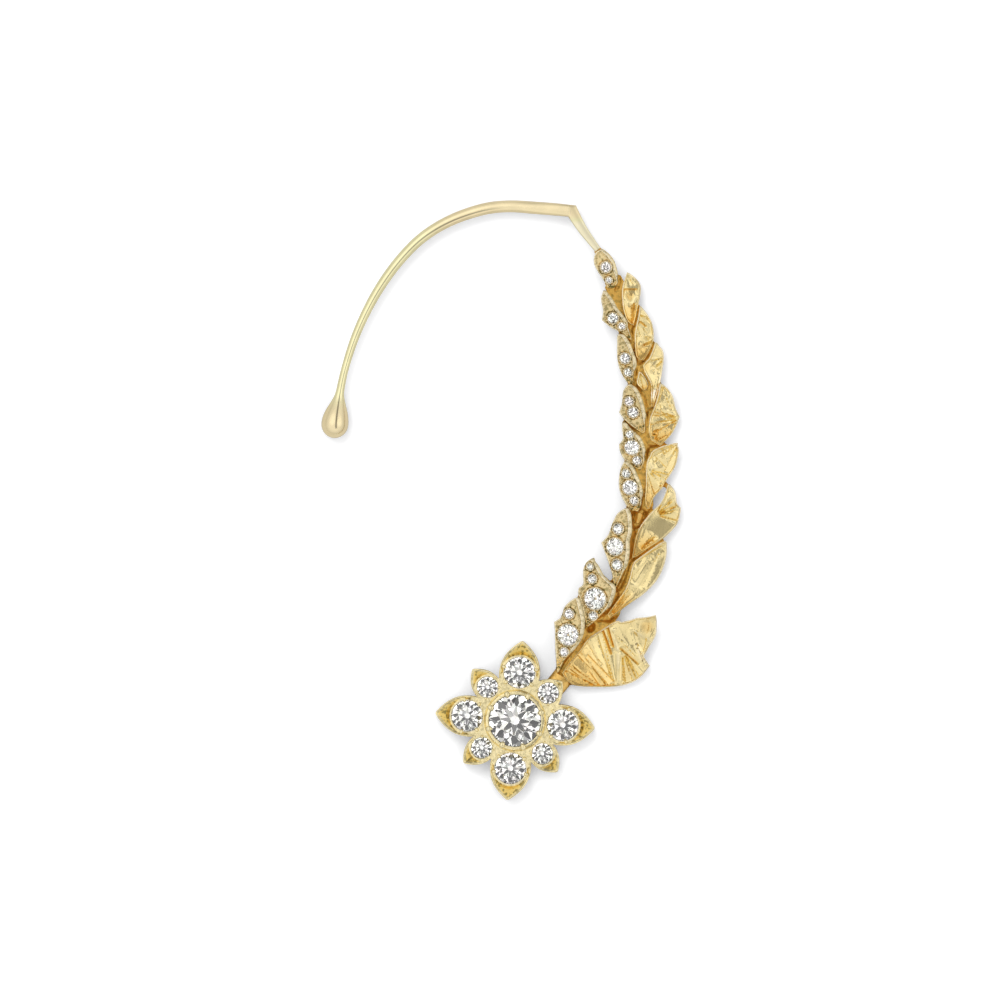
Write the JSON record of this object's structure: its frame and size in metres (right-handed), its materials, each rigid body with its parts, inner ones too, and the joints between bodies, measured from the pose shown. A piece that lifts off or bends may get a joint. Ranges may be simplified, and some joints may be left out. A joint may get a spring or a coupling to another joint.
{
  "type": "over-the-ear diamond earring",
  "caption": "Gold over-the-ear earring: a wire with a drop end hooks over the ear and carries a branch of diamond-set and chased leaves that ends in a diamond flower.",
  "frame": {"origin": "the middle of the bounding box's lowest face: the earring lies face up on its flat back, and the origin is on the surface under its middle", "axes": "+Y from the flower towards the crown of the ear wire, +X from the drop towards the leaves, +Z out of the face with the stones"},
  "size_m": [0.036, 0.06, 0.0033],
  "materials": {
    "hook_gold": "polished",
    "branch_gold": "satin",
    "flower_gold": "polished",
    "diamond": "polished"
  },
  "bodies": {
    "root": {"ear_hook": "hook_gold", "branch_stem": "branch_gold", "flower_setting": "flower_gold", "centre_stone": "diamond", "bud_leaf": "branch_gold", "petal_stone_1": "diamond", "petal_stone_2": "diamond", "petal_stone_3": "diamond", "petal_stone_4": "diamond", "petal_stone_5": "diamond", "petal_stone_6": "diamond", "petal_stone_7": "diamond", "petal_stone_8": "diamond", "diamond_leaf_1": "branch_gold", "diamond_leaf_2": "branch_gold", "diamond_leaf_3": "branch_gold", "diamond_leaf_4": "branch_gold", "diamond_leaf_5": "branch_gold", "diamond_leaf_6": "branch_gold", "diamond_leaf_7": "branch_gold", "diamond_leaf_8": "branch_gold", "diamond_leaf_9": "branch_gold", "gold_leaf_1": "branch_gold", "gold_leaf_2": "branch_gold", "gold_leaf_3": "branch_gold", "gold_leaf_4": "branch_gold", "gold_leaf_5": "branch_gold", "gold_leaf_6": "branch_gold", "gold_leaf_7": "branch_gold", "gold_leaf_8": "branch_gold", "diamond_leaf_1_stone_1": "diamond", "diamond_leaf_1_stone_2": "diamond", "diamond_leaf_2_stone_1": "diamond", "diamond_leaf_2_stone_2": "diamond", "diamond_leaf_3_stone_1": "diamond", "diamond_leaf_3_stone_2": "diamond", "diamond_leaf_4_stone_1": "diamond", "diamond_leaf_4_stone_2": "diamond", "diamond_leaf_5_stone_1": "diamond", "diamond_leaf_5_stone_2": "diamond", "diamond_leaf_5_stone_3": "diamond", "diamond_leaf_6_stone_1": "diamond", "diamond_leaf_6_stone_2": "diamond", "diamond_leaf_6_stone_3": "diamond", "diamond_leaf_7_stone_1": "diamond", "diamond_leaf_7_stone_2": "diamond", "diamond_leaf_7_stone_3": "diamond", "diamond_leaf_8_stone_1": "diamond", "diamond_leaf_8_stone_2": "diamond", "diamond_leaf_8_stone_3": "diamond", "diamond_leaf_8_stone_4": "diamond", "diamond_leaf_9_stone_1": "diamond", "diamond_leaf_9_stone_2": "diamond", "diamond_leaf_9_stone_3": "diamond"}
  },
  "joints": []
}
